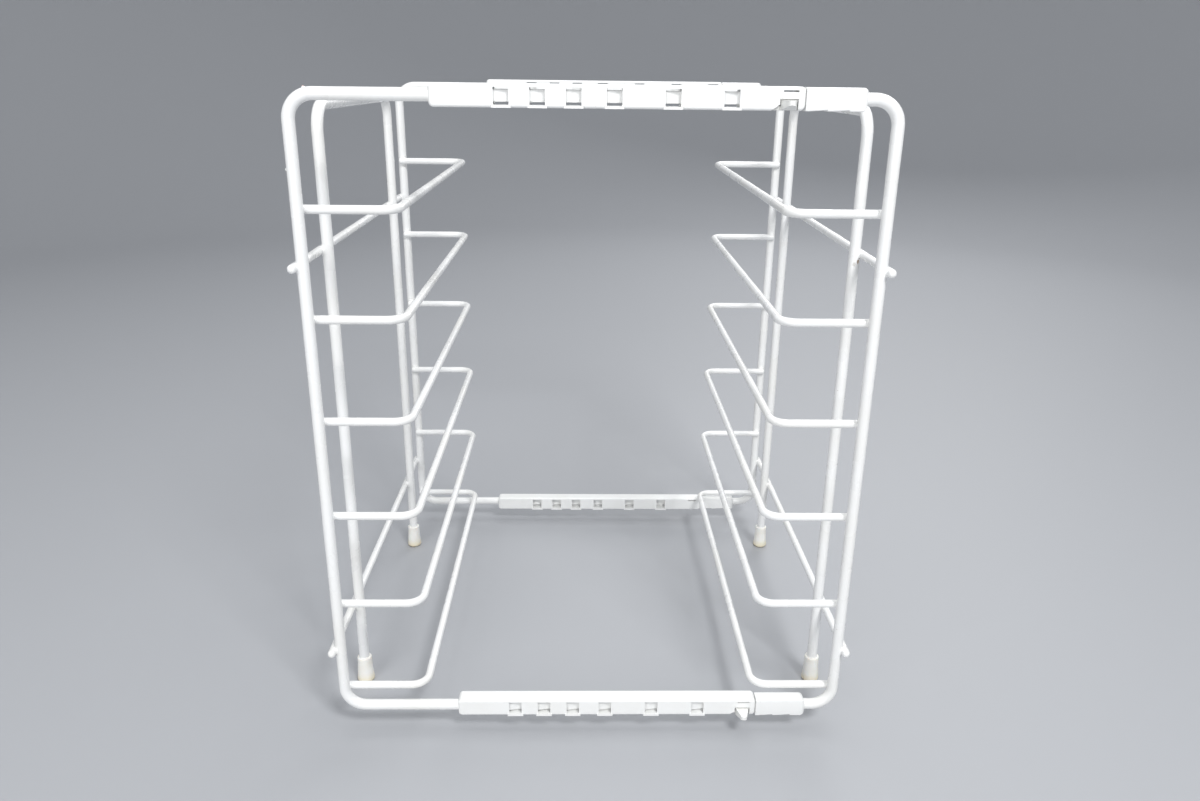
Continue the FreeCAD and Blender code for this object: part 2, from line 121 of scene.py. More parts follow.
# Weld menisci.
FILLET = 1.4 * MM
TIP_ROUND = RUNNER_END
NO_TIP = 1.0
BEARINGS = 44
STEPS_UP = 11
SINK = 0.16 * MM
SETTLING_ROUNDS = 24
NUDGE = 1e-7
SETTLING_PACE = 0.8
LEAST_CROSSING = 0.05
LEAST_STEEPNESS = 0.04
FIRST_REACH = 2.2 * MM
FIRST_LOW_RISE, FIRST_HIGH_REACH, FIRST_HIGH_RISE = 0.6, 0.8, 1.5
POLE_SINKS = 4

# Marks in the coating: place, radius across, how many times taller than wide, and colour.
COATING_MARKS = (
    ((0.1264, -0.0800, 0.2385), 0.75 * MM, 1.9, (0.36, 0.25, 0.16, 1)),
    ((0.1268, -0.0798, 0.2400), 0.55 * MM, 1.2, (0.28, 0.26, 0.24, 1)),
    ((0.1245, -0.0803, 0.2372), 1.0 * MM, 1.3, (0.62, 0.61, 0.58, 1)),
    ((-0.1176, -0.1186, 0.3152), 0.6 * MM, 1.0, (0.60, 0.40, 0.34, 1)),
)

# Burrs of the left half: place on the wire, way out of it, and height.
BURRS = (
    ((-0.11764, -0.1186, 0.31492), (-0.238, 0.0, 0.971), 0.8 * MM),
    ((-0.12758, -0.1194, 0.28250), (-0.955, -0.2955, 0.0), 0.6 * MM),
)
BURR_RADIUS = 1.0 * MM
BURR_TOP = 0.05


# Geometry of the coated wires.
def runner_names(side):
    """The runners of one side, from the lowest up, as their numbers go."""
    return sorted(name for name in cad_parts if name.startswith(side + "_runner_"))


def stringer_names(side):
    """The two straight wires of one side."""
    return ["%s_%s_stringer" % (side, level) for level in ("lower", "upper")]


def frame_corners(side, end):
    """Corners of a frame wire's middle line, from inside the low rail to inside the high one."""
    low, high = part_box("%s_%s_frame" % (side, end))
    radius = (high.y - low.y) / 2
    if side == "left":
        upright = low.x + radius
        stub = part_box("top_%s_sleeve" % end)[0].x + SEAT_DEPTH
    else:
        upright = high.x - radius
        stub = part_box("top_%s_slide" % end)[1].x - SEAT_DEPTH
    y = (low.y + high.y) / 2
    bottom, top = low.z + radius, high.z - radius
    return [(stub, y, bottom), (upright, y, bottom), (upright, y, top), (stub, y, top)]


def hoop_corners(side):
    """Corners of a hoop's middle line, from inside the front foot to inside the rear one."""
    low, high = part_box(side + "_hoop")
    radius = (high.x - low.x) / 2
    x = (low.x + high.x) / 2
    front, rear, top = low.y + radius, high.y - radius, high.z - radius
    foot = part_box(side + "_front_foot")[1].z - SEAT_DEPTH
    return [(x, front, foot), (x, front, top), (x, rear, top), (x, rear, foot)]


def runner_corners(side, name):
    """Corners of a runner's middle line, from its front tip to its rear one."""
    low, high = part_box(name)
    radius = (high.z - low.z) / 2
    z = (low.z + high.z) / 2
    front, rear = low.y + radius, high.y - radius
    if side == "left":
        tip, reach = low.x - COAT_ON_THIN, high.x - radius
    else:
        tip, reach = high.x + COAT_ON_THIN, low.x + radius
    return [(tip, front, z), (reach, front, z), (reach, rear, z), (tip, rear, z)]


def stringer_corners(side, name):
    """Both ends of a stringer's middle line, set so far in that its coating stays in the box."""
    low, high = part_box(name)
    radius = (high.z - low.z) / 2 + COAT_ON_THIN + PROUD
    x = low.x + radius if side == "left" else high.x - radius
    z = (low.z + high.z) / 2
    return [(x, low.y - COAT_ON_THIN, z), (x, high.y + COAT_ON_THIN, z)]


def coated_radius(name):
    """A wire's radius with its coating: half its least measure, and the coating's thickness."""
    low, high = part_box(name)
    radius = min(high - low) / 2
    return radius + (COAT_ON_THICK if radius > THIN_LIMIT else COAT_ON_THIN)


def coated_rods(name, corners, square_way, bend, radius, end_round):
    """Coated rods as one mesh; each turns on an arc of the bend's radius at its inner corners.

    corners is (rods, corners, 3), every turn is square and each rod lies in a plane across its
    square way. On a turn by the angle a the middle line is at the corner, less the way in times
    the bend times (1 - sin a), plus the way out times the bend times (1 - cos a). An end is
    rounded: at the angle b from the tip the line is (1 - cos b) times the rounding further in
    and the ring is (1 - sin b) times the rounding thinner. To the radius come a slow wave and a
    quicker ripple that winds round the rod, and on level runs a sag of the lower half.
    """
    corners = np.array(corners)
    ways = np.diff(corners, axis=1)
    ways = ways / np.linalg.norm(ways, axis=2, keepdims=True)
    turned = np.linspace(0, math.pi / 2, BEND_ROWS)[None, :, None]
    share = np.linspace(0, 1, RUN_ROWS)[None, 1:-1, None]
    tip = np.linspace(0, math.pi / 2, END_ROWS)
    further_in = (end_round * (1 - np.cos(tip)))[None, :, None]
    thinner = end_round * (1 - np.sin(tip))

    first = corners[:, :1] + ways[:, :1] * further_in
    final = corners[:, -1:] - ways[:, -1:] * further_in[:, ::-1]
    places = [first]
    headings = [ways[:, :1] + 0 * first]
    start = first[:, -1]
    for run in range(ways.shape[1]):
        way = ways[:, run]
        last = run == ways.shape[1] - 1
        stop = final[:, 0] if last else corners[:, run + 1] - bend * way
        places.append(start[:, None] + (stop - start)[:, None] * share)
        headings.append(way[:, None] + 0 * share)
        if not last:
            before, after = way[:, None], ways[:, run + 1, None]
            corner = corners[:, run + 1, None]
            into, out_of = 1 - np.sin(turned), 1 - np.cos(turned)
            places.append(corner - before * bend * into + after * bend * out_of)
            headings.append(before * np.cos(turned) + after * np.sin(turned))
            start = corners[:, run + 1] + bend * ways[:, run + 1]
    places = np.concatenate(places + [final], axis=1)[:, None]
    headings = np.concatenate(headings + [ways[:, -1:] + 0 * final], axis=1)[:, None]
    rows = places.shape[2]
    shrink = np.zeros(rows)
    shrink[:END_ROWS] = thinner
    shrink[-END_ROWS:] = thinner[::-1]

    bearing = (np.arange(BEARINGS) * 2 * math.pi / BEARINGS)[None, :, None]
    square = np.array(square_way)[None, None, None]
    beside = np.cross(headings, square)
    outward = square * np.cos(bearing)[..., None] + beside * np.sin(bearing)[..., None]
    steps = np.linalg.norm(np.diff(places, axis=2), axis=3)
    none_yet = np.zeros(steps.shape[:2] + (1,))
    run_so_far = np.concatenate([none_yet, np.cumsum(steps, axis=2)], axis=2)
    phase = PHASE_STEP * np.arange(len(corners))[:, None, None]
    wave = WAVE * np.sin(2 * math.pi * run_so_far / WAVE_LENGTH + phase)
    ripple = RIPPLE * np.sin(2 * math.pi * run_so_far / RIPPLE_LENGTH + bearing + 2 * phase)
    sag = SAG * np.maximum(-outward[..., 2], 0) * (1 - np.abs(headings[..., 2]))
    uneven = (wave + ripple + sag) * (1 - shrink / end_round)
    points = places + outward * (radius - shrink + uneven)[..., None]
    return closed_rings(name, points, corners[:, 0], corners[:, -1])


# Geometry of the sliding mouldings.
def slide_stations(left, head_left, right):
    """Where a slide's section changes along the rail: place, low edge, top edge, half depth.

    From the left come a shoe, a straight shank with a ratchet pocket in both faces behind every
    window of the sleeve, and the head, with sloping teeth under it and a round far end.
    """
    shoe_end = left + SHOE_LONG
    rows = [(left, -SHOE_HALF_TALL, SHOE_HALF_TALL, SHOE_HALF_DEEP)]
    rows += [(shoe_end, -SHOE_HALF_TALL, SHOE_HALF_TALL, SHOE_HALF_DEEP)]
    rows += [(shoe_end, -SHANK_HALF_TALL, SHANK_HALF_TALL, SHANK_HALF_DEEP)]
    edge = FIRST_WINDOW
    for pitch in WINDOW_PITCHES + (0.0,):
        rows += [(edge - WINDOW_WIDE, -SHANK_HALF_TALL, SHANK_HALF_TALL, SHANK_HALF_DEEP)]
        rows += [(edge, -SHANK_HALF_TALL, SHANK_HALF_TALL, SHANK_HALF_DEEP - POCKET_DEEP)]
        rows += [(edge, -SHANK_HALF_TALL, SHANK_HALF_TALL, SHANK_HALF_DEEP)]
        edge += pitch
    rows += [(head_left, -SHANK_HALF_TALL, SHANK_HALF_TALL, SHANK_HALF_DEEP)]
    rows += [(head_left, HEAD_LOW, HEAD_TOP, HEAD_HALF_DEEP)]
    for tooth in range(HEAD_TEETH):
        start = head_left + HEAD_TOOTH_FIRST + HEAD_TOOTH_PITCH * tooth
        rows += [(start, HEAD_LOW, HEAD_TOP, HEAD_HALF_DEEP)]
        rows += [(start + HEAD_TOOTH_LONG, HEAD_LOW + HEAD_TOOTH, HEAD_TOP, HEAD_HALF_DEEP)]
        rows += [(start + HEAD_TOOTH_LONG, HEAD_LOW, HEAD_TOP, HEAD_HALF_DEEP)]
    for turned in np.linspace(0, math.pi / 2, END_ROWS):
        less = HEAD_ROUND * (1 - math.cos(turned))
        place = right - HEAD_ROUND * (1 - math.sin(turned))
        rows += [(place, HEAD_LOW + less, HEAD_TOP - less, HEAD_HALF_DEEP - less / 2)]
    return np.array(rows)


def slides(name):
    """The four sliding mouldings as one mesh, each carried along its rail from section to section.

    A section is a rectangle with corners rounded by the edge's radius: at the bearing a it stands
    at the corner centre of a's quarter, plus the radius times (cos a, sin a).
    """
    bearing = (np.arange(BEARINGS) + 0.5) * 2 * math.pi / BEARINGS
    side_y, side_z = np.cos(bearing)[:, None], np.sin(bearing)[:, None]
    rails, low_poles, high_poles = [], [], []
    for end in ("front", "rear"):
        corners = frame_corners("right", end)
        for level, z in (("bottom", corners[0][2]), ("top", corners[-1][2])):
            low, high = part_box("%s_%s_slide" % (level, end))
            head_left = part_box("%s_%s_sleeve" % (level, end))[1].x + HEAD_GAP
            station = slide_stations(low.x, head_left, high.x)
            middle = (station[:, 1] + station[:, 2]) / 2
            half_tall = (station[:, 2] - station[:, 1]) / 2
            across = np.sign(side_y) * (station[:, 3] - EDGE_ROUND) + side_y * EDGE_ROUND
            upward = middle + np.sign(side_z) * (half_tall - EDGE_ROUND) + side_z * EDGE_ROUND
            along = station[:, 0] + 0 * across
            rails.append(np.stack([along, across + corners[0][1], upward + z], axis=-1))
            low_poles.append((low.x, corners[0][1], z))
            high_poles.append((high.x, corners[0][1], z))
    piece = closed_rings(name, np.array(rails), np.array(low_poles), np.array(high_poles))
    piece.data.set_sharp_from_angle(angle=SHARP_FROM)
    return piece


# Geometry of the feet.
def feet(name, side):
    """The two soft feet of one side as one mesh, turned about the hoop's legs.

    From a flat base a quarter round of the base's rounding leads to the side. At the share t of
    its way up the side stands at the mouth's radius plus the flare times (1 - t) to the flare's
    power, and a small quarter round ends it. All round, the radius wavers by a hundredth.
    """
    turned = np.linspace(0, math.pi / 2, END_ROWS)
    up = np.linspace(0, 1, FOOT_ROWS)[1:-1]
    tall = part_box(side + "_front_foot")[1].z
    side_low, side_high = FOOT_BASE_ROUND, tall - FOOT_LIP_ROUND
    radius = [
        FOOT_BASE - FOOT_BASE_ROUND * (1 - np.sin(turned)),
        FOOT_MOUTH + (FOOT_BASE - FOOT_MOUTH) * (1 - up) ** FLARE_POWER,
        FOOT_MOUTH - FOOT_LIP_ROUND * (1 - np.cos(turned)),
    ]
    level = [
        FOOT_BASE_ROUND * (1 - np.cos(turned)),
        side_low + (side_high - side_low) * up,
        side_high + FOOT_LIP_ROUND * np.sin(turned),
    ]
    radius, level = np.concatenate(radius), np.concatenate(level)
    bearing = (np.arange(BEARINGS) * 2 * math.pi / BEARINGS)[:, None]
    waver = 1 + WAVER_SHARE * np.sin(WAVER_TIMES * bearing + level / WAVER_CLIMB)
    corners = hoop_corners(side)
    legs = np.array([(x, y, 0.0) for x, y, _ in (corners[0], corners[-1])])
    ring = np.stack([np.cos(bearing) * radius * waver, np.sin(bearing) * radius * waver], axis=-1)
    turned_once = np.concatenate([ring, (level + 0 * bearing)[..., None]], axis=-1)
    points = legs[:, None, None] + turned_once
    return closed_rings(name, points, legs, legs + (0, 0, tall))


# Geometry of the welded crossings.
def crossing_list(side):
    """Each weld of one side: place on the thick wire, way to the thin one, way along it, gap, tip.

    The gap is between the two wires' axes. The tip is how far the thin wire still goes, against
    its own way, past the thick wire's axis.
    """
    hoop_low, hoop_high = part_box(side + "_hoop")
    centre_x = (hoop_low.x + hoop_high.x) / 2
    inward = 1.0 if side == "left" else -1.0
    found = []
    for end, which in (("front", 0), ("rear", -1)):
        low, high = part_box("%s_%s_frame" % (side, end))
        upright = Vector((centre_x, (low.y + high.y) / 2, 0))
        leg = Vector(hoop_corners(side)[which])
        for name in runner_names(side):
            tip_x, axis_y, axis_z = runner_corners(side, name)[which]
            place = Vector((centre_x, upright.y, axis_z))
            gap = abs(axis_y - upright.y)
            way = Vector((0, math.copysign(1, axis_y - upright.y), 0))
            found.append((place, way, Vector((inward, 0, 0)), gap, abs(tip_x - centre_x)))
        for name in stringer_names(side):
            axis_x, _, axis_z = stringer_corners(side, name)[which]
            gap = abs(axis_x - centre_x)
            way = Vector((-inward, 0, 0))
            for post in (upright, leg):
                place = Vector((centre_x, post.y, axis_z))
                found.append((place, way, Vector((0, 1, 0)), gap, NO_TIP))
    return found


def from_thick(across, rise, radius):
    """Distance from the thick wire: the distance from its axis less its radius."""
    return np.hypot(across, rise) - radius


def from_thin(along, across, rise, radius, gap, tip):
    """Distance from the thin wire, a rod whose one end is rounded.

    Round the rod it is the distance from the axis less the radius. Past the end it is the
    distance from a core that is the rounding smaller all round, less that rounding.
    """
    side = np.hypot(along, rise - gap) - radius + TIP_ROUND
    end = -across - tip + TIP_ROUND
    outside = np.hypot(np.maximum(side, 0), np.maximum(end, 0))
    return outside - TIP_ROUND + np.minimum(np.maximum(side, end), 0)


def slope(function, reach, rise):
    """The function's value and its slopes along both axes of the half plane."""
    value = function(reach, rise)
    by_reach = (function(reach + NUDGE, rise) - value) / NUDGE
    by_rise = (function(reach, rise + NUDGE) - value) / NUDGE
    return value, by_reach, by_rise


def meet(first, second, reach, rise):
    """Newton's rule in each half plane: the spot where both functions are nothing."""
    for _ in range(SETTLING_ROUNDS):
        a, a_reach, a_rise = slope(first, reach, rise)
        b, b_reach, b_rise = slope(second, reach, rise)
        scale = a_reach * b_rise - a_rise * b_reach
        too_flat = np.abs(scale) < LEAST_CROSSING
        scale = np.where(too_flat, np.copysign(LEAST_CROSSING, scale), scale)
        reach = np.maximum(reach - (a * b_rise - b * a_rise) / scale * SETTLING_PACE, NUDGE)
        rise = rise - (b * a_reach - a * b_reach) / scale * SETTLING_PACE
    return reach, rise


def menisci(name, side):
    """The coating that fills the corners round every weld of one side, as one mesh.

    Seen from the middle of a weld, each bearing has a half plane. In it the meniscus starts on
    the thick wire where the thin one is a fillet away, and ends on the thin wire where the thick
    one is a fillet away. Between them it is the smooth union of the two rods: the lesser of the
    two distances, less a quarter of the squared overlap of their blend, is nothing. Its rims dip
    into both wires and close there on the axis of the weld.
    """
    welds = crossing_list(side)
    thick, thin = coated_radius(side + "_hoop"), coated_radius(runner_names(side)[0])
    gap = np.array([weld[3] for weld in welds])[:, None]
    tip = np.array([weld[4] for weld in welds])[:, None]
    bearing = np.arange(BEARINGS) * 2 * math.pi / BEARINGS

    def thick_off(reach, rise):
        turn = bearing.reshape((1, -1) + (1,) * (np.ndim(reach) - 2))
        return from_thick(reach * np.sin(turn), rise, thick)

    def thin_off(reach, rise):
        extra = (1,) * (np.ndim(reach) - 2)
        turn = bearing.reshape((1, -1) + extra)
        gaps = gap.reshape((-1, 1) + extra)
        tips = tip.reshape((-1, 1) + extra)
        return from_thin(reach * np.cos(turn), reach * np.sin(turn), rise, thin, gaps, tips)

    def blend(reach, rise):
        a = thick_off(reach, rise)
        b = thin_off(reach, rise)
        overlap = np.maximum(FILLET - np.abs(a - b), 0)
        return np.minimum(a, b) - overlap**2 / (4 * FILLET)

    start = np.full((len(welds), BEARINGS), FIRST_REACH)
    low_reach, low_rise = meet(
        thick_off, lambda x, z: thin_off(x, z) - FILLET, start, start * FIRST_LOW_RISE
    )
    high_reach, high_rise = meet(
        lambda x, z: thick_off(x, z) - FILLET,
        thin_off,
        start * FIRST_HIGH_REACH,
        start * FIRST_HIGH_RISE,
    )
    share = np.linspace(0, 1, STEPS_UP)
    reach = low_reach[..., None] + (high_reach - low_reach)[..., None] * share
    rise = low_rise[..., None] + (high_rise - low_rise)[..., None] * share
    for _ in range(SETTLING_ROUNDS):
        value, by_reach, by_rise = slope(blend, reach, rise)
        steep = np.maximum(by_reach**2 + by_rise**2, LEAST_STEEPNESS)
        reach = reach - value * by_reach / steep
        rise = rise - value * by_rise / steep

    def sunk(function, near_reach, near_rise):
        _, by_reach, by_rise = slope(function, near_reach, near_rise)
        return (near_reach - by_reach * SINK)[..., None], (near_rise - by_rise * SINK)[..., None]

    under = sunk(thick_off, low_reach, low_rise)
    over = sunk(thin_off, high_reach, high_rise)
    reach = np.concatenate([under[0], reach, over[0]], axis=2)
    rise = np.concatenate([under[1], rise, over[1]], axis=2)

    middle = np.array([weld[0] for weld in welds])
    outward = np.array([weld[1] for weld in welds])
    across = np.array([weld[2] for weld in welds])
    along = np.cross(across, outward)
    turn = bearing[None, :, None, None]
    points = (
        middle[:, None, None]
        + along[:, None, None] * reach[..., None] * np.cos(turn)
        + across[:, None, None] * reach[..., None] * np.sin(turn)
        + outward[:, None, None] * rise[..., None]
    )
    low_pole = middle + outward * (thick - POLE_SINKS * SINK)
    high_pole = middle + outward * (gap - thin + POLE_SINKS * SINK)
    return closed_rings(name, points, low_pole, high_pole)


def burrs(name):
    """Small lumps left in the coating, as one mesh.

    At a share s of the radius, from 1 at the rim to a twentieth at the top, a lump stands
    (1 - s squared) squared times its height above its base, which is sunk in the wire. Its rim
    wavers with the bearing: a tenth of the radius three times round and a sixteenth five times.
    """
    base = np.array([burr[0] for burr in BURRS])
    outward = np.array([burr[1] for burr in BURRS])
    height = np.array([burr[2] for burr in BURRS])[:, None, None, None]
    across = np.cross(outward, (0.0, 1.0, 0.0))
    across = across / np.linalg.norm(across, axis=1)[:, None]
    along = np.cross(outward, across)
    bearing = (np.arange(BEARINGS) * 2 * math.pi / BEARINGS)[None, :, None, None]
    share = np.linspace(1, BURR_TOP, STEPS_UP)[None, None, :, None]
    waver = 1 + np.sin(3 * bearing) / 10 + np.cos(5 * bearing) / 16
    reach = BURR_RADIUS * share * waver
    rise = height * (1 - share**2) ** 2 - SINK
    points = (
        base[:, None, None]
        + across[:, None, None] * reach * np.cos(bearing)
        + along[:, None, None] * reach * np.sin(bearing)
        + outward[:, None, None] * rise
    )
    height = height.reshape(-1, 1)
    return closed_rings(name, points, base - outward * 2 * SINK, base + outward * (height - SINK))


def closed_rings(name, points, low_pole, high_pole):
    """A mesh of many closed skins, each a ring of bearings carried up in rows between two poles.

    points is (skins, bearings, rows, 3). Bearings run anticlockwise seen from the high pole, so
    the faces point outwards.
    """
    skins, bearings, rows, _ = points.shape
    each = bearings * rows
    numbers = np.arange(skins * each).reshape(skins, bearings, rows)
    following = np.roll(numbers, -1, axis=1)
    quads = np.stack(
        [numbers[..., :-1], following[..., :-1], following[..., 1:], numbers[..., 1:]], axis=-1
    ).reshape(-1, 4)
    low = skins * each + np.arange(skins)[:, None] + np.zeros((1, bearings), int)
    high = low + skins
    caps = np.concatenate(
        [
            np.stack([low, following[..., 0], numbers[..., 0]], axis=-1).reshape(-1, 3),
            np.stack([high, numbers[..., -1], following[..., -1]], axis=-1).reshape(-1, 3),
        ]
    )
    spots = np.concatenate([points.reshape(-1, 3), low_pole, high_pole])
    return mesh_piece(name, spots, quads.tolist() + caps.tolist())


def mesh_piece(name, spots, faces):
    """A smooth-shaded object at the origin from an array of points and a list of faces."""
    mesh = bpy.data.meshes.new(name)
    mesh.from_pydata(spots, [], faces)
    mesh.polygons.foreach_set("use_smooth", np.ones(len(mesh.polygons), bool))
    mesh.update()
    piece = bpy.data.objects.new(name, mesh)
    bpy.context.scene.collection.objects.link(piece)
    return piece


# Numbers of the finishes.
PATCH_RANGE = (0.35, 0.75)
NOISE_MIDDLE = (0.3, 0.7)
MARK_NOISE_SCALE = 1500.0
MARK_RAGGEDNESS = 0.9
MARK_RIM = (0.95, 1.45)
COATING_RELIEF = 0.22 * MM
COATING_ROUGHNESS = (0.22, 0.36)
BARE_ROUGHER = 0.4
BARE_DEEPER = 0.3
MOULDING_RELIEF = 0.10 * MM
ALONG_RAIL = (0.18, 1.0, 1.0)
FOOT_RELIEF = 0.10 * MM
FOOT_ROUGHNESS = (0.42, 0.58)
FOOT_CLOUDS = 0.22
# Shares of the foot's height: the band where its colour turns yellower towards the base, the lower
# band where it turns brown, and how brown it gets at the base.
FOOT_YELLOWER_BAND = (0.12, 0.55)
FOOT_BROWNER_BAND = (0.08, 0.18)
FOOT_BROWNER_SHARE = 0.8


# Node trees.
def feed(tree, made, inputs):
    """Joins each input of a node to a socket, or sets it to a value."""
    for name, value in inputs.items():
        if isinstance(value, bpy.types.NodeSocket):
            tree.links.new(value, made.inputs[name])
        else:
            made.inputs[name].default_value = value


def node(tree, kind, inputs, **settings):
    """A shader node with its settings and inputs."""
    made = tree.nodes.new("ShaderNode" + kind)
    for name, value in settings.items():
        setattr(made, name, value)
    feed(tree, made, inputs)
    return made


def sum_of(tree, operation, first, second, clamp=False):
    """One Math node over two values or sockets."""
    return node(
        tree, "Math", {0: first, 1: second}, operation=operation, use_clamp=clamp
    ).outputs[0]


def stretched(tree, value, low, high, to_low=0.0, to_high=1.0):
    """The value's part from low to high, eased and stretched to a new range."""
    made = node(
        tree,
        "MapRange",
        {"Value": value, "From Min": low, "From Max": high, "To Min": to_low, "To Max": to_high},
        interpolation_type="SMOOTHSTEP",
    )
    return made.outputs["Result"]


def mixed(tree, factor, first, second):
    """Two colours mixed by a mask."""
    made = node(tree, "Mix", {0: factor, 6: first, 7: second}, data_type="RGBA")
    return made.outputs[2]


def start_group(name, inputs, outputs):
    """An empty node group with named sockets: the group, its tree's inputs and its output node."""
    group = bpy.data.node_groups.new(name, "ShaderNodeTree")
    for title, kind, value in inputs:
        socket = group.interface.new_socket(title, in_out="INPUT", socket_type="NodeSocket" + kind)
        if value is not None:
            socket.default_value = value
    for title, kind in outputs:
        group.interface.new_socket(title, in_out="OUTPUT", socket_type="NodeSocket" + kind)
    entry = group.nodes.new("NodeGroupInput").outputs
    leave = group.nodes.new("NodeGroupOutput").inputs
    return group, entry, leave


def skin_group():
    """Height of a skin: broad sagging of the layer, orange peel, and a fine grain."""
    inputs = [("Vector", "Vector", None), ("Sag Scale", "Float", 60.0), ("Sag", "Float", 0.5)]
    inputs += [("Peel Scale", "Float", 400.0), ("Peel", "Float", 0.3)]
    inputs += [("Grain Scale", "Float", 2500.0), ("Grain", "Float", 0.1)]
    group, entry, leave = start_group("uneven_skin", inputs, [("Height", "Float")])
    total = 0.0
    for layer, detail in (("Sag", 1.0), ("Peel", 2.0), ("Grain", 1.0)):
        noise = node(
            group,
            "TexNoise",
            {"Vector": entry["Vector"], "Scale": entry[layer + " Scale"], "Detail": detail},
        )
        part = sum_of(group, "MULTIPLY", noise.outputs[0], entry[layer])
        total = part if total == 0.0 else sum_of(group, "ADD", total, part)
    group.links.new(total, leave["Height"])
    return group


def tone_group():
    """Colour that drifts in soft patches from a clean tone to an aged one."""
    inputs = [("Vector", "Vector", None), ("Clean", "Color", None), ("Aged", "Color", None)]
    inputs += [("Patch Scale", "Float", 20.0), ("Ageing", "Float", 0.5)]
    group, entry, leave = start_group("drifting_tone", inputs, [("Color", "Color")])
    noise = node(
        group,
        "TexNoise",
        {"Vector": entry["Vector"], "Scale": entry["Patch Scale"], "Detail": 4.0},
    )
    patches = stretched(group, noise.outputs[0], *PATCH_RANGE)
    factor = sum_of(group, "MULTIPLY", patches, entry["Ageing"], clamp=True)
    group.links.new(mixed(group, factor, entry["Clean"], entry["Aged"]), leave["Color"])
    return group


def speck_group():
    """Sparse specks of settled dust: small cells of which only a few are picked by their noise."""
    inputs = [("Vector", "Vector", None), ("Base", "Color", None), ("Dust", "Color", None)]
    inputs += [("Speck Scale", "Float", 300.0), ("Amount", "Float", 0.3), ("Size", "Float", 0.2)]
    outputs = [("Color", "Color"), ("Mask", "Float")]
    group, entry, leave = start_group("settled_specks", inputs, outputs)
    cells = node(
        group, "TexVoronoi", {"Vector": entry["Vector"], "Scale": entry["Speck Scale"]}
    )
    chosen = node(group, "SeparateColor", {0: cells.outputs["Color"]}).outputs[0]
    picked = sum_of(group, "LESS_THAN", chosen, entry["Amount"])
    near = node(
        group,
        "MapRange",
        {"Value": cells.outputs["Distance"], "From Min": 0.0, "From Max": entry["Size"],
         "To Min": 1.0, "To Max": 0.0},
        interpolation_type="SMOOTHSTEP",
    ).outputs["Result"]
    mask = sum_of(group, "MULTIPLY", picked, near, clamp=True)
    group.links.new(mixed(group, mask, entry["Base"], entry["Dust"]), leave["Color"])
    group.links.new(mask, leave["Mask"])
    return group


def mark_group():
    """A ragged upright spot: nearness to a centre, broken up at its rim by noise."""
    inputs = [("Vector", "Vector", None), ("Centre", "Vector", None), ("Radius", "Float", 0.001)]
    inputs += [("Tallness", "Float", 1.0)]
    group, entry, leave = start_group("ragged_mark", inputs, [("Mask", "Float")])
    from_centre = node(
        group, "VectorMath", {0: entry["Vector"], 1: entry["Centre"]}, operation="SUBTRACT"
    ).outputs[0]
    shape = node(group, "CombineXYZ", {0: 1.0, 1: 1.0, 2: entry["Tallness"]}).outputs[0]
    squashed = node(
        group, "VectorMath", {0: from_centre, 1: shape}, operation="DIVIDE"
    ).outputs[0]
    away = node(group, "VectorMath", {0: squashed}, operation="LENGTH").outputs["Value"]
    ragged = node(
        group, "TexNoise", {"Vector": entry["Vector"], "Scale": MARK_NOISE_SCALE, "Detail": 3.0}
    ).outputs[0]
    ratio = sum_of(group, "DIVIDE", away, entry["Radius"])
    broken = sum_of(group, "ADD", ratio, sum_of(group, "MULTIPLY", ragged, MARK_RAGGEDNESS))
    group.links.new(stretched(group, broken, *MARK_RIM, 1.0, 0.0), leave["Mask"])
    return group


GROUPS = {
    "skin": skin_group(),
    "tone": tone_group(),
    "specks": speck_group(),
    "mark": mark_group(),
}


def use(tree, name, inputs):
    """Puts one of the groups in a material, with that material's own values."""
    made = tree.nodes.new("ShaderNodeGroup")
    made.node_tree = GROUPS[name]
    feed(tree, made, inputs)
    return made.outputs


def skin_height(tree, vector, **layers):
    """The skin's height over a vector; each layer is given as its scale and its share."""
    inputs = {"Vector": vector}
    for layer, (scale, share) in layers.items():
        inputs[layer + " Scale"] = scale
        inputs[layer] = share
    return use(tree, "skin", inputs)["Height"]


def start_material(name):
    """A material with only its shader and output: the tree, the shader and object coordinates."""
    material = bpy.data.materials.new(name)
    material.use_nodes = True
    tree = material.node_tree
    tree.nodes.clear()
    shader = tree.nodes.new("ShaderNodeBsdfPrincipled")
    ending = tree.nodes.new("ShaderNodeOutputMaterial")
    tree.links.new(shader.outputs[0], ending.inputs["Surface"])
    place = tree.nodes.new("ShaderNodeTexCoord").outputs["Object"]
    return material, tree, shader, place


def finish_skin(tree, shader, height, depth):
    """Joins a height to the shader's normal through a Bump node of that depth in metres."""
    bump = node(tree, "Bump", {"Height": height, "Strength": 1.0, "Distance": depth})
    tree.links.new(bump.outputs[0], shader.inputs["Normal"])


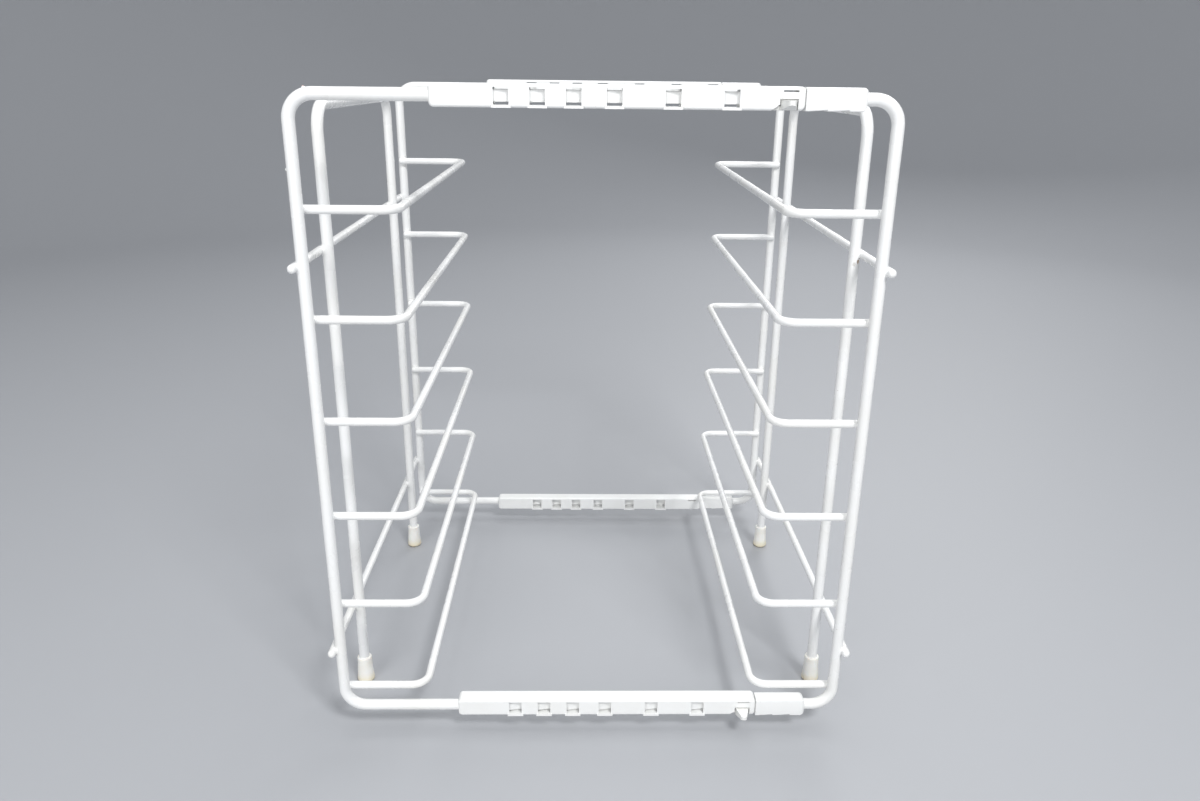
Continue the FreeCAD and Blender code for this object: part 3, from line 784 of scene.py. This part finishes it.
def dipped_coating():
    """Thick glossy white dip: soft sags, faint peel, aged patches, dust specks and bare marks."""
    material, tree, shader, place = start_material("dipped_coating")
    tone = use(
        tree,
        "tone",
        {
            "Vector": place,
            "Clean": (0.86, 0.865, 0.86, 1),
            "Aged": (0.80, 0.79, 0.745, 1),
            "Patch Scale": 26.0,
            "Ageing": 0.55,
        },
    )["Color"]
    specks = use(
        tree,
        "specks",
        {
            "Vector": place,
            "Base": tone,
            "Dust": (0.42, 0.38, 0.33, 1),
            "Speck Scale": 260.0,
            "Amount": 0.055,
            "Size": 0.09,
        },
    )
    colour = specks["Color"]
    height = skin_height(
        tree, place, Sag=(40.0, 0.12), Peel=(330.0, 0.010), Grain=(2600.0, 0.0015)
    )
    bare = 0.0
    for centre, radius, tallness, tint in COATING_MARKS:
        spot = {"Vector": place, "Centre": centre, "Radius": radius, "Tallness": tallness}
        mask = use(tree, "mark", spot)["Mask"]
        colour = mixed(tree, mask, colour, tint)
        bare = mask if bare == 0.0 else sum_of(tree, "MAXIMUM", bare, mask)
    rough_patches = node(
        tree, "TexNoise", {"Vector": place, "Scale": 55.0, "Detail": 3.0}
    ).outputs[0]
    roughness = stretched(tree, rough_patches, *NOISE_MIDDLE, *COATING_ROUGHNESS)
    rougher = sum_of(tree, "MULTIPLY", bare, BARE_ROUGHER)
    roughness = sum_of(tree, "ADD", roughness, rougher, clamp=True)
    tree.links.new(colour, shader.inputs["Base Color"])
    tree.links.new(roughness, shader.inputs["Roughness"])
    shader.inputs["IOR"].default_value = 1.5
    shader.inputs["Coat Weight"].default_value = 0.15
    shader.inputs["Coat Roughness"].default_value = 0.12
    pitted = sum_of(tree, "SUBTRACT", height, sum_of(tree, "MULTIPLY", bare, BARE_DEEPER))
    finish_skin(tree, shader, pitted, COATING_RELIEF)
    return material


def moulded_plastic(name, clean, aged, ageing, roughness_range):
    """White injection moulding: even tone, spark-etched grain, faint flow waves along the rail."""
    material, tree, shader, place = start_material(name)
    tone = use(
        tree,
        "tone",
        {"Vector": place, "Clean": clean, "Aged": aged, "Patch Scale": 34.0, "Ageing": ageing},
    )["Color"]
    specks = use(
        tree,
        "specks",
        {
            "Vector": place,
            "Base": tone,
            "Dust": (0.50, 0.47, 0.42, 1),
            "Speck Scale": 320.0,
            "Amount": 0.045,
            "Size": 0.08,
        },
    )
    flow = node(tree, "Mapping", {"Vector": place, "Scale": ALONG_RAIL}).outputs[0]
    height = skin_height(
        tree, flow, Sag=(110.0, 0.5), Peel=(900.0, 0.10), Grain=(4200.0, 0.10)
    )
    patches = node(tree, "TexNoise", {"Vector": flow, "Scale": 90.0, "Detail": 4.0}).outputs[0]
    roughness = stretched(tree, patches, *NOISE_MIDDLE, *roughness_range)
    tree.links.new(specks["Color"], shader.inputs["Base Color"])
    tree.links.new(roughness, shader.inputs["Roughness"])
    shader.inputs["IOR"].default_value = 1.53
    finish_skin(tree, shader, height, MOULDING_RELIEF)
    return material


def foot_vinyl():
    """Soft cream vinyl whose colour turns yellower towards the base and brown in a band at the
    base where it stands.
    """
    material, tree, shader, place = start_material("foot_vinyl")
    foot_low, foot_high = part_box("left_front_foot")
    tall = foot_high.z - foot_low.z
    yellow_low, yellow_high = (share * tall for share in FOOT_YELLOWER_BAND)
    brown_low, brown_high = (share * tall for share in FOOT_BROWNER_BAND)
    up = node(tree, "SeparateXYZ", {0: place}).outputs[2]
    cloudy = node(tree, "TexNoise", {"Vector": place, "Scale": 380.0, "Detail": 4.0}).outputs[0]
    level = sum_of(tree, "ADD", up, sum_of(tree, "MULTIPLY", cloudy, FOOT_CLOUDS * tall))
    # By height alone the colour gets darker: yellower towards the base and brown in a band at the
    # base.
    yellow_towards_base = stretched(tree, level, yellow_low, yellow_high, 1.0, 0.0)
    brown_towards_base = stretched(tree, level, brown_low, brown_high, FOOT_BROWNER_SHARE, 0.0)
    tone = use(
        tree,
        "tone",
        {
            "Vector": place,
            "Clean": (0.87, 0.86, 0.82, 1),
            "Aged": (0.83, 0.81, 0.73, 1),
            "Patch Scale": 160.0,
            "Ageing": 0.7,
        },
    )["Color"]
    colour = mixed(tree, yellow_towards_base, tone, (0.82, 0.74, 0.54, 1))
    colour = mixed(tree, brown_towards_base, colour, (0.40, 0.28, 0.14, 1))
    height = skin_height(
        tree, place, Sag=(260.0, 0.5), Peel=(1100.0, 0.2), Grain=(5200.0, 0.12)
    )
    tree.links.new(colour, shader.inputs["Base Color"])
    roughness = stretched(tree, cloudy, *NOISE_MIDDLE, *FOOT_ROUGHNESS)
    tree.links.new(roughness, shader.inputs["Roughness"])
    shader.inputs["Subsurface Weight"].default_value = 0.12
    shader.inputs["Subsurface Radius"].default_value = (1.2 * MM, 0.9 * MM, 0.6 * MM)
    shader.inputs["Subsurface Scale"].default_value = 1.0
    finish_skin(tree, shader, height, FOOT_RELIEF)
    return material


COATING = dipped_coating()
MOULDING = moulded_plastic(
    "moulded_white", (0.86, 0.865, 0.855, 1), (0.81, 0.805, 0.77, 1), 0.45, (0.30, 0.42)
)
LATCH_PLASTIC = moulded_plastic(
    "latch_white", (0.84, 0.842, 0.82, 1), (0.76, 0.745, 0.69, 1), 0.7, (0.26, 0.38)
)
VINYL = foot_vinyl()

# Finishes of the solids: a word of the node's name picks one.
FINISHES = {
    "frame": COATING,
    "hoop": COATING,
    "runner": COATING,
    "stringer": COATING,
    "sleeve": MOULDING,
    "slide": MOULDING,
    "latch": LATCH_PLASTIC,
    "foot": VINYL,
}
for name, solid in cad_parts.items():
    words = [word for word in name.split("_") if word in FINISHES]
    for holder in solid.material_slots:
        holder.material = FINISHES[words[0]]


def put_on(piece, side, *stands_for, material=COATING, slot="white_coating"):
    """Gives a new piece its material and its body, and hides the plain solids it stands for. The
    slot is not used.
    """
    piece.data.materials.append(material)
    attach(piece, "%s_half" % side)
    if stands_for:
        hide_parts(*stands_for)


# Coating of the wires and in the corners of their welds.
for side in SIDES:
    frames = ["%s_%s_frame" % (side, end) for end in ("front", "rear")]
    corners = [frame_corners(side, end) for end in ("front", "rear")]
    square_way = (0.0, 1.0 if side == "left" else -1.0, 0.0)
    piece = coated_rods(
        "%s_frame_coating" % side,
        corners,
        square_way,
        FRAME_BEND,
        coated_radius(frames[0]),
        HIDDEN_END,
    )
    put_on(piece, side, *frames)

    hoop = "%s_hoop" % side
    piece = coated_rods(
        "%s_hoop_coating" % side,
        [hoop_corners(side)],
        (-1.0, 0.0, 0.0),
        HOOP_BEND,
        coated_radius(hoop),
        HIDDEN_END,
    )
    put_on(piece, side, hoop)

    runners = runner_names(side)
    square_way = (0.0, 0.0, 1.0 if side == "left" else -1.0)
    piece = coated_rods(
        "%s_runner_coating" % side,
        [runner_corners(side, name) for name in runners],
        square_way,
        RUNNER_BEND,
        coated_radius(runners[0]),
        RUNNER_END,
    )
    put_on(piece, side, *runners)

    stringers = stringer_names(side)
    piece = coated_rods(
        "%s_stringer_coating" % side,
        [stringer_corners(side, name) for name in stringers],
        (0.0, 0.0, 1.0),
        0.0,
        coated_radius(stringers[0]),
        STRINGER_END,
    )
    put_on(piece, side, *stringers)

    put_on(menisci("%s_weld_coating" % side, side), side)

    ends = ["%s_%s_foot" % (side, end) for end in ("front", "rear")]
    put_on(feet("%s_feet" % side, side), side, *ends, material=VINYL, slot="cream_cap")

put_on(burrs("left_coating_burrs"), "left")

# The sliding mouldings.
slide_names = [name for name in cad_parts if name.endswith("_slide")]
put_on(
    slides("rail_slide_mouldings"),
    "right",
    *slide_names,
    material=MOULDING,
    slot="white_moulding",
)


# Stage, light and camera.
FLOOR_MIDDLE = 0.02
FLOOR_FLAT = 1.5
FLOOR_BEND = 0.9
FLOOR_WALL = 1.6
FLOOR_ROWS = 12
FLOOR_BEND_ROWS = 24
FLOOR_BEARINGS = 96
FLOOR_COLOUR = (0.40, 0.41, 0.43, 1)
FLOOR_ROUGHNESS = 0.55
AIM = Vector((0, 0, 0.15))

# Lamps: name, place, edge and power.
LAMPS = (
    ("key", (0.45, -1.0, 1.25), 0.35, 15),
    ("fill", (-0.55, -1.25, 0.55), 0.9, 8),
    ("top", (0.0, 0.2, 1.7), 1.2, 8),
    ("rear", (0.6, 1.35, 0.95), 0.9, 7),
)
SKY_COLOUR = (0.93, 0.96, 1.0, 1)
SKY_STRENGTH = 0.62


def pale_stage():
    """A round floor that turns up into a wall: a profile of distance and height, spun round."""
    arc = np.linspace(0, math.pi / 2, FLOOR_BEND_ROWS)[1:]
    level = np.linspace(FLOOR_MIDDLE, FLOOR_FLAT, FLOOR_ROWS)
    edge = FLOOR_FLAT + FLOOR_BEND
    far = np.concatenate([level, FLOOR_FLAT + FLOOR_BEND * np.sin(arc), [edge]])
    up = np.concatenate([0 * level, FLOOR_BEND * (1 - np.cos(arc)), [FLOOR_BEND + FLOOR_WALL]])
    turn = np.arange(FLOOR_BEARINGS)[:, None] * 2 * math.pi / FLOOR_BEARINGS
    points = np.stack([far * np.cos(turn), far * np.sin(turn), up + 0 * turn], axis=-1)
    numbers = np.arange(points.shape[0] * points.shape[1]).reshape(points.shape[:2])
    following = np.roll(numbers, -1, axis=0)
    quads = np.stack(
        [numbers[:, :-1], numbers[:, 1:], following[:, 1:], following[:, :-1]], axis=-1
    ).reshape(-1, 4)
    faces = quads.tolist() + [numbers[:, 0].tolist()]
    floor = mesh_piece("stage_floor", points.reshape(-1, 3), faces)
    material, _, shader, _ = start_material("pale_floor")
    shader.inputs["Base Color"].default_value = FLOOR_COLOUR
    shader.inputs["Roughness"].default_value = FLOOR_ROUGHNESS
    floor.data.materials.append(material)


def soft_light(name, place, across, power):
    """A square studio lamp that faces the middle of the rack."""
    lamp = bpy.data.lights.new(name, "AREA")
    lamp.shape = "SQUARE"
    lamp.size = across
    lamp.energy = power
    holder = bpy.data.objects.new(name, lamp)
    bpy.context.scene.collection.objects.link(holder)
    holder.location = place
    holder.rotation_euler = (AIM - Vector(place)).to_track_quat("-Z", "Y").to_euler()


def photo_camera():
    """The photograph's camera: its place and lens, and how it was pitched, turned and rolled."""
    ahead = Vector(
        (
            math.sin(CAMERA_YAW) * math.cos(CAMERA_PITCH),
            math.cos(CAMERA_YAW) * math.cos(CAMERA_PITCH),
            math.sin(CAMERA_PITCH),
        )
    )
    level = Vector((math.cos(CAMERA_YAW), -math.sin(CAMERA_YAW), 0))
    above = level.cross(ahead)
    right = level * math.cos(CAMERA_ROLL) + above * math.sin(CAMERA_ROLL)
    up = above * math.cos(CAMERA_ROLL) - level * math.sin(CAMERA_ROLL)
    camera = bpy.data.cameras.new("photo_camera")
    camera.sensor_fit = "HORIZONTAL"
    camera.sensor_width = CAMERA_SENSOR
    camera.lens = CAMERA_LENS
    camera.clip_start = 0.01
    holder = bpy.data.objects.new("photo_camera", camera)
    bpy.context.scene.collection.objects.link(holder)
    turned = Matrix((right, up, -ahead)).transposed().to_4x4()
    holder.matrix_world = Matrix.Translation(CAMERA_PLACE) @ turned
    bpy.context.scene.camera = holder


pale_stage()
for lamp in LAMPS:
    soft_light(*lamp)
world = bpy.data.worlds.new("studio")
world.use_nodes = True
sky = world.node_tree.nodes["Background"].inputs
sky["Color"].default_value = SKY_COLOUR
sky["Strength"].default_value = SKY_STRENGTH
bpy.context.scene.world = world
bpy.context.scene.view_settings.view_transform = "Standard"
photo_camera()
